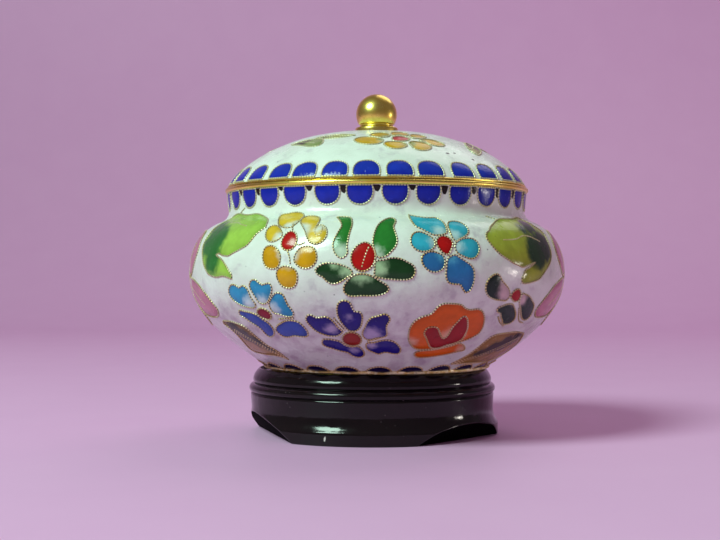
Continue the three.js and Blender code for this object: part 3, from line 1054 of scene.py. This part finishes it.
LOW_LEAF_RIGHT = [
    ("leaf", [(-2, -3.4, 2.4), (2, -0.8, 3.3), (6, 1.4, 3.8), (10, 3.4, 3.2)], [
        (13.5, 5.5), (13.5, 5.5), (7, 6.4), (1, 6.2), (-3.8, 5.1), (-5, 2.1), (-6.2, -4.3),
        (-8.6, -9), (-8.6, -9), (-1.7, -9.1), (4, -9), (10.7, -8.6), (17.4, -5), (17.5, 0.6),
    ]),
    ("wire", (), [(-8, -8), (-2, -4.6), (4, -1), (12, 4.2)]),
    ("wire", (), [(-7, -8.6), (-1.2, -5.4), (5, -1.8), (13, 3.4)]),
]
ROSE_BLOOM = [
    ("petal", [(-1, 2, 5.5)], [
        (-3, 3), (-9, 1.5), (-13.5, 4.5), (-15.5, 9), (-12, 14), (-6, 16.8), (-1.5, 15), (-1, 9),
    ]),
    ("petal", [(-2, 0, 7.0)], [
        (-3.5, 1), (-9, 0.6), (-14, 0), (-21, -2.5), (-26.5, -8.6), (-24, -11.6), (-19, -12.4),
        (-12, -11.5), (-6, -7.4), (-3, -3),
    ]),
    ("petal", [(0, -3, 4.5)], [
        (-2, -4), (-6, -8.6), (-8, -13.5), (-3, -16), (4, -15.5), (8, -12), (5, -7), (2, -4),
    ]),
    ("petal", [(2, 0, 6.5)], [
        (3, -2), (7, -6), (13, -10), (20, -10), (24, -6), (20, -1), (12, 1), (6, 1),
    ]),
    ("petal", [(1, 3, 5.0)], [
        (2, 3), (7, 2.4), (13, 4), (16, 9), (12, 14.5), (6, 16.5), (1.5, 14), (1, 8),
    ]),
    ("heart", (), [(-2.4, 1.6), (-0.6, 2.8), (1.6, 2), (2.4, -0.4), (0.8, -2.6), (-1.6, -2)]),
    ("wire", (), [(-4.4, 5), (-7, 8), (-8, 12)]),
    ("wire", (), [(5, 6), (8, 9), (8.6, 13)]),
    ("wire", (), [(-8, -2), (-14, -4.6), (-19, -8)]),
    ("wire", (), [(8, -3), (14, -5), (19, -6)]),
]


INLAY_LIFT = 0.15  # a cell laid inside another lies on its swell


def lay(pattern, shell, bearing, along, paints, flip=1, lean=0.0):
    """Lays a motif on a shell in the given paints, mirrored or leant over by some degrees."""
    cosine, sine = math.cos(math.radians(lean)), math.sin(math.radians(lean))

    def moved_point(u, v):
        return flip * (u * cosine - v * sine), u * sine + v * cosine

    for role, pools, outline in pattern:
        outline = [moved_point(u, v) for u, v in outline]
        if role == "wire":
            shell.wire(bearing, along, outline, closed=False)
        else:
            near, far = paints[role]
            pools = [(*moved_point(u, v), reach) for u, v, reach in pools]
            lift = INLAY_LIFT if role == "inlay" else 0.0
            shell.cell(bearing, along, outline, near, far, pools, lift=lift)


RED_HEART = ((134, 16, 18), (188, 26, 22))
YELLOW_PAINTS = {"heart": RED_HEART, "high": (WHITE, (224, 186, 48)), "low": (WHITE, (214, 156, 22))}
GREEN_PAINTS = {
    "heart": RED_HEART,
    "high": ((205, 228, 200), (44, 126, 48)),
    "low": ((176, 206, 160), (28, 64, 32)),
}
SKY_PAINTS = {
    "heart": ((150, 16, 16), (186, 22, 20)),
    "high": ((190, 226, 226), (54, 176, 200)),
    "low": ((96, 182, 212), (48, 118, 176)),
}
DARK_PAINTS = {"heart": ((150, 20, 24), (176, 24, 30)), "petal": ((216, 186, 188), (34, 52, 44))}
HEART_PAINTS = {
    "heart": ((120, 24, 44), (142, 28, 50)),
    "high": ((200, 212, 222), (46, 142, 190)),
    "low": ((120, 150, 200), (56, 82, 170)),
}
NIGHT_PAINTS = {"heart": ((130, 30, 30), (150, 34, 30)), "petal": ((176, 160, 196), (38, 26, 124))}
FLAME_PAINTS = {"inlay": ((136, 14, 22), (156, 18, 28)), "petal": ((222, 170, 140), (212, 92, 18))}
SPRING_LEAF = {"leaf": ((48, 112, 52), (158, 196, 78))}
OLIVE_LEAF = {"leaf": ((44, 70, 46), (166, 178, 60))}
BROWN_LEAF = {"leaf": ((34, 44, 26), (156, 118, 66))}
DUSKY_LEAF = {"leaf": ((32, 40, 20), (150, 114, 60))}
ROSE_PAINTS = {"heart": ((206, 150, 40), (216, 160, 50)), "petal": ((222, 198, 204), (192, 118, 140))}

flowers = Pattern(bowl_sheet)
lay(YELLOW_BLOOM, flowers, -25, 8, YELLOW_PAINTS)
lay(CURLED_LEAF, flowers, -50, 8.5, SPRING_LEAF)
lay(GREEN_BLOOM, flowers, -3, 4.5, GREEN_PAINTS)
lay(SKY_BLOOM, flowers, 19, 6, SKY_PAINTS)
lay(FOLDED_LEAF, flowers, 45, 6.5, OLIVE_LEAF)
lay(DARK_BLOOM, flowers, 44, -8, DARK_PAINTS)
lay(HEART_BLOOM, flowers, -34, -12.5, HEART_PAINTS)
lay(NIGHT_BLOOM, flowers, -8, -20, NIGHT_PAINTS)
lay(FLAME_BLOOM, flowers, 23, -19.5, FLAME_PAINTS)
lay(LOW_LEAF_LEFT, flowers, -49, -22.5, BROWN_LEAF)
lay(LOW_LEAF_RIGHT, flowers, 47, -26.5, DUSKY_LEAF)
lay(ROSE_BLOOM, flowers, 84, -2, ROSE_PAINTS)
flowers.finished("bowl_front_flowers", jewel, brass)

back_flowers = Pattern(bowl_sheet)
lay(ROSE_BLOOM, back_flowers, -84, -2, ROSE_PAINTS, flip=-1)
lay(GREEN_BLOOM, back_flowers, 177, 4.5, GREEN_PAINTS, flip=-1)
lay(YELLOW_BLOOM, back_flowers, 155, 7.5, YELLOW_PAINTS, flip=-1, lean=8)
lay(SKY_BLOOM, back_flowers, 200, 6, SKY_PAINTS, flip=-1)
lay(FOLDED_LEAF, back_flowers, 132, 6, OLIVE_LEAF, flip=-1, lean=6)
lay(CURLED_LEAF, back_flowers, 228, 7.5, SPRING_LEAF, flip=-1)
lay(DARK_BLOOM, back_flowers, 223, -9, DARK_PAINTS, flip=-1)
lay(HEART_BLOOM, back_flowers, 146, -13, HEART_PAINTS, flip=-1)
lay(FLAME_BLOOM, back_flowers, 170, -20, FLAME_PAINTS, flip=-1)
lay(NIGHT_BLOOM, back_flowers, 198, -19.5, NIGHT_PAINTS, flip=-1)
lay(LOW_LEAF_LEFT, back_flowers, 229, -22.5, BROWN_LEAF)
lay(LOW_LEAF_RIGHT, back_flowers, 127, -26, DUSKY_LEAF, flip=-1)
back_flowers.finished("bowl_back_flowers", jewel, brass)

# ---- Rims ----
# Two gilt copper rings meet at the seam: a round one soldered round the bowl's mouth, and a
# flat band on the lid with a flange that drops inside the mouth and keeps the lid in place.

SEAM_HEIGHT = 78.1
RIM_RADIUS = 48.7
BAND_RADIUS = 47.9
BAND_TOP = 78.9
FLANGE_DEPTH = 4.0
FLANGE_WALL = 0.8
FLANGE_GAP = 0.3

rim_inner = MOUTH_RADIUS - WALL
rim_middle = (MOUTH_HEIGHT + SEAM_HEIGHT) / 2
rim_round = (SEAM_HEIGHT - MOUTH_HEIGHT) / 2
rim_outline = [(rim_inner, MOUTH_HEIGHT)]
for step in range(13):
    turn = math.radians(-90 + 15 * step)
    rim_outline.append(
        (RIM_RADIUS - rim_round + rim_round * math.cos(turn), rim_middle + rim_round * math.sin(turn))
    )
rim_outline.append((rim_inner, SEAM_HEIGHT))
bowl_rim = made_piece("gilt_bowl_rim", turned(rim_outline, SHELL_STEPS), gilt)
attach(bowl_rim, "root")
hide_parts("bowl_rim")

flange_outer = rim_inner - FLANGE_GAP
band_outline = [
    (flange_outer - FLANGE_WALL, SEAM_HEIGHT - FLANGE_DEPTH),
    (flange_outer, SEAM_HEIGHT - FLANGE_DEPTH),
    (flange_outer, SEAM_HEIGHT + 0.05),
    (BAND_RADIUS - 0.35, SEAM_HEIGHT + 0.05),
    (BAND_RADIUS, SEAM_HEIGHT + 0.25),
    (BAND_RADIUS, BAND_TOP - 0.25),
    (BAND_RADIUS - 0.3, BAND_TOP),
    (flange_outer - FLANGE_WALL, BAND_TOP),
]
lid_band = made_piece("gilt_lid_band", turned(band_outline, SHELL_STEPS), gilt)
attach(lid_band, "root")
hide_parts("lid_rim")

# ---- Lid ----
# A shallow dome of beaten copper with a flat seat for the knob, covered with the same white
# ground enamel and bordered by a ring of blue scallops above its gilt band.

LID_RADIUS = 47.4
LID_TOP = 96.3
LID_SEAT = 45.4
LID_EYE = 60  # a height in mm, under the dome, that the whole of its inside faces
COLLAR_RADIUS = 6.9

dome = bend((LID_RADIUS, BAND_TOP), (43.6, 86.4), (27.6, LID_TOP), (COLLAR_RADIUS, LID_TOP), 44)
lid_sheet = Sheet(dome, 0.0)
dome_inside = reversed(moved(dome, WALL)[1:-1:2])
lid_shape = turned(
    [(LID_SEAT, BAND_TOP), *dome, (0, LID_TOP), (0, LID_TOP - WALL), *dome_inside],
    steps=SHELL_STEPS,
)
uneven(lid_shape)
lining_inside(lid_shape, LID_EYE)
lid = made_piece("enamelled_lid", lid_shape, ground, lining)
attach(lid, "root")
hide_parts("lid")

LID_CELL = [
    (-3.9, 0), (-3.9, 0), (-3.95, 1.9), (-3.4, 4.0), (-2.1, 5.4), (0, 5.9), (2.1, 5.4), (3.4, 4.0),
    (3.95, 1.9), (3.9, 0), (3.9, 0),
]
FRONT_LID = (-63.8, -51, -38.1, -27, -15.1, -3.6, 8.4, 19.9, 33.2, 45.6, 58.2, 70)
BACK_LID = [82 + 11.9 * count for count in range(18)]
LID_BLUE = (28, 54, 176)
LID_BLOOM = [
    ("heart", (), [
        (0.2, 3.4), (1.6, 2.7), (3.6, 2.8), (5.2, 3.8), (5.6, 5.4), (4.6, 7), (2.6, 7.4), (0.8, 6.4),
    ]),
    ("petal", [(-2.6, 4, 1.6)], [
        (-11.3, 3), (-10.8, 5), (-9.2, 6.4), (-6.8, 7), (-4.6, 6.2), (-3, 4.8), (-2.6, 3.2),
        (-3.6, 1.2), (-5.6, 0.1), (-8.2, 0.1), (-10.4, 1.2),
    ]),
    ("petal", [(4.4, 0.4, 1.2)], [
        (-2.8, 0.6), (-2.4, -1.2), (-1, -2.6), (1.2, -2.8), (3, -2), (4, -0.8), (3.8, 0.9),
        (2.2, 2.1), (0, 2.4), (-1.8, 2),
    ]),
    ("petal", [(5, 1, 1.8)], [
        (5, 1.8), (5.2, -0.4), (6, -2.6), (8, -3.6), (10.2, -3.2), (11.6, -1.6), (11.6, 0.3),
        (10.2, 1.8), (8.2, 2.6), (6.4, 2.8),
    ]),
    ("petal", [(8.6, 4.2, 1.8)], [
        (8.8, 3.6), (10.6, 2.5), (12, 0.8), (14, -0.1), (16.2, 0.1), (17.1, 1.4), (16, 3.4),
        (13.8, 5), (11.2, 5.6), (9.2, 5),
    ]),
    ("petal", [(-1, 6.4, 2.0)], [
        (-5.6, 7.4), (-5.8, 9.6), (-4.2, 11.6), (-1.6, 12.2), (-0.2, 10.6), (0.1, 8.4),
        (-0.8, 6.6), (-2.8, 5.8), (-4.4, 6.4),
    ]),
    ("petal", [(3, 8, 1.4)], [
        (0.8, 8), (0.6, 10.6), (1.6, 12.8), (4, 13.2), (5.8, 12), (6, 9.6), (4.8, 8), (2.8, 7.9),
    ]),
    ("petal", [(6.4, 6, 1.6)], [
        (6.2, 7), (6.6, 9.4), (8.4, 10.8), (10.8, 10.2), (11.8, 8.2), (10.6, 6.6), (8.4, 5.8),
        (6.8, 5.8),
    ]),
]
LID_LEAF = [
    ("leaf", [(-6, 6.6, 3.4)], [
        (-10, 5.6), (-10, 5.6), (-7.6, 7.4), (-5, 8.8), (-2, 9.6), (0.6, 9.2), (2.4, 7.4),
        (3.7, 5), (3.8, 3.2), (2.6, 2.3), (0.6, 2.4), (-2, 3.4), (-5, 4.3), (-7.6, 4.8),
    ]),
    ("wire", (), [(-8.6, 5.8), (-4, 6.4), (1, 4.8)]),
]
LID_SPRIG = [
    ("leaf", [(-4, 1.4, 2.4)], [
        (-7.2, 0), (-7.2, 0), (-4.3, -1.2), (-0.8, -1.4), (3, -0.7), (6.2, 1), (6.2, 1),
        (3.8, 2.4), (0.4, 3.1), (-3.8, 2.4),
    ]),
    ("wire", (), [(-6, 0.2), (-1, 0.7), (5.2, 1)]),
]
LID_OLIVE = [
    ("leaf", [(11, 4, 3.4)], [
        (3.4, -1.2), (4.2, -2.6), (6, -2), (9, -0.4), (12, 1.6), (14.4, 4), (14.8, 6.4), (11.6, 7.6),
        (8, 6), (5, 3), (3.6, 0.8),
    ]),
    ("wire", (), [(3.2, 0.6), (5.6, 1.4), (9.6, 3.6), (13.4, 5.8)]),
]
LID_PAINTS = {"heart": ((176, 66, 30), (196, 54, 30)), "petal": ((118, 146, 54), (218, 168, 24))}
LID_RUST = {"heart": ((168, 70, 40), (186, 52, 40)), "petal": ((214, 206, 170), (190, 116, 44))}
LID_GREY_LEAF = {"leaf": ((74, 78, 50), (142, 158, 92))}
LID_OLIVE_LEAF = {"leaf": ((96, 100, 40), (170, 166, 84))}
LID_SKY = {"heart": ((168, 40, 40), (186, 32, 30)), "petal": ((190, 226, 226), (60, 160, 196))}
LID_SPECKS = [(32.1, 11, 0.7), (36.1, 11.4, 0.5), (43.6, 8.3, 0.6)]  # bearing, along, half width

lid_pattern = Pattern(lid_sheet)
for count, bearing in enumerate([*FRONT_LID, *BACK_LID]):
    outline = hand_bent(LID_CELL, 90 + count)
    lid_pattern.cell(bearing, 0.25, outline, BORDER_BLUE, LID_BLUE, [(0, -2, 3.4)])
for turn, petals in ((0, LID_PAINTS), (120, LID_SKY), (240, LID_RUST)):
    lay(LID_BLOOM, lid_pattern, turn + 8, 15.5, petals)
    lay(LID_LEAF, lid_pattern, turn - 35, 13, LID_GREY_LEAF)
    lay(LID_SPRIG, lid_pattern, turn - 26, 23.5, LID_OLIVE_LEAF)
    if turn < 240:
        lay(LID_OLIVE, lid_pattern, turn + 45, 14, LID_OLIVE_LEAF)
for bearing, along, half in LID_SPECKS:
    speck = [(-half, 0), (0, half * 0.7), (half, 0), (0, -half * 0.7)]
    lid_pattern.cell(bearing, along, speck, DARK_MARK, DARK_MARK, wired=False, crown=0.03)
lid_pattern.finished("lid_flowers", jewel, brass)

# ---- Knob ----
# A turned brass ball, gilt and polished, on a low collar that is fixed to the flat seat at the
# top of the lid.

BALL_RADIUS = 6.6
BALL_HEIGHT = 102.4
BALL_STEPS = 28

knob_outline = [(0, LID_TOP), (COLLAR_RADIUS, LID_TOP)]
knob_outline += bend((COLLAR_RADIUS, 97.5), (COLLAR_RADIUS, 98.0), (6.6, 98.15), (6.2, 98.2), 4)
knob_outline += bend((5.7, 98.3), (5.2, 98.5), (5.3, 99.1), (5.7, 99.2), 4)
ball_start = math.degrees(math.asin((99.3 - BALL_HEIGHT) / BALL_RADIUS))
for step in range(BALL_STEPS + 1):
    turn = math.radians(ball_start + (90 - ball_start) * step / BALL_STEPS)
    knob_outline.append((BALL_RADIUS * math.cos(turn), BALL_HEIGHT + BALL_RADIUS * math.sin(turn)))
knob_outline[-1] = (0, BALL_HEIGHT + BALL_RADIUS)
knob = made_piece("gilt_knob", turned(knob_outline, 96), gilt)
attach(knob, "root")
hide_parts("knob")
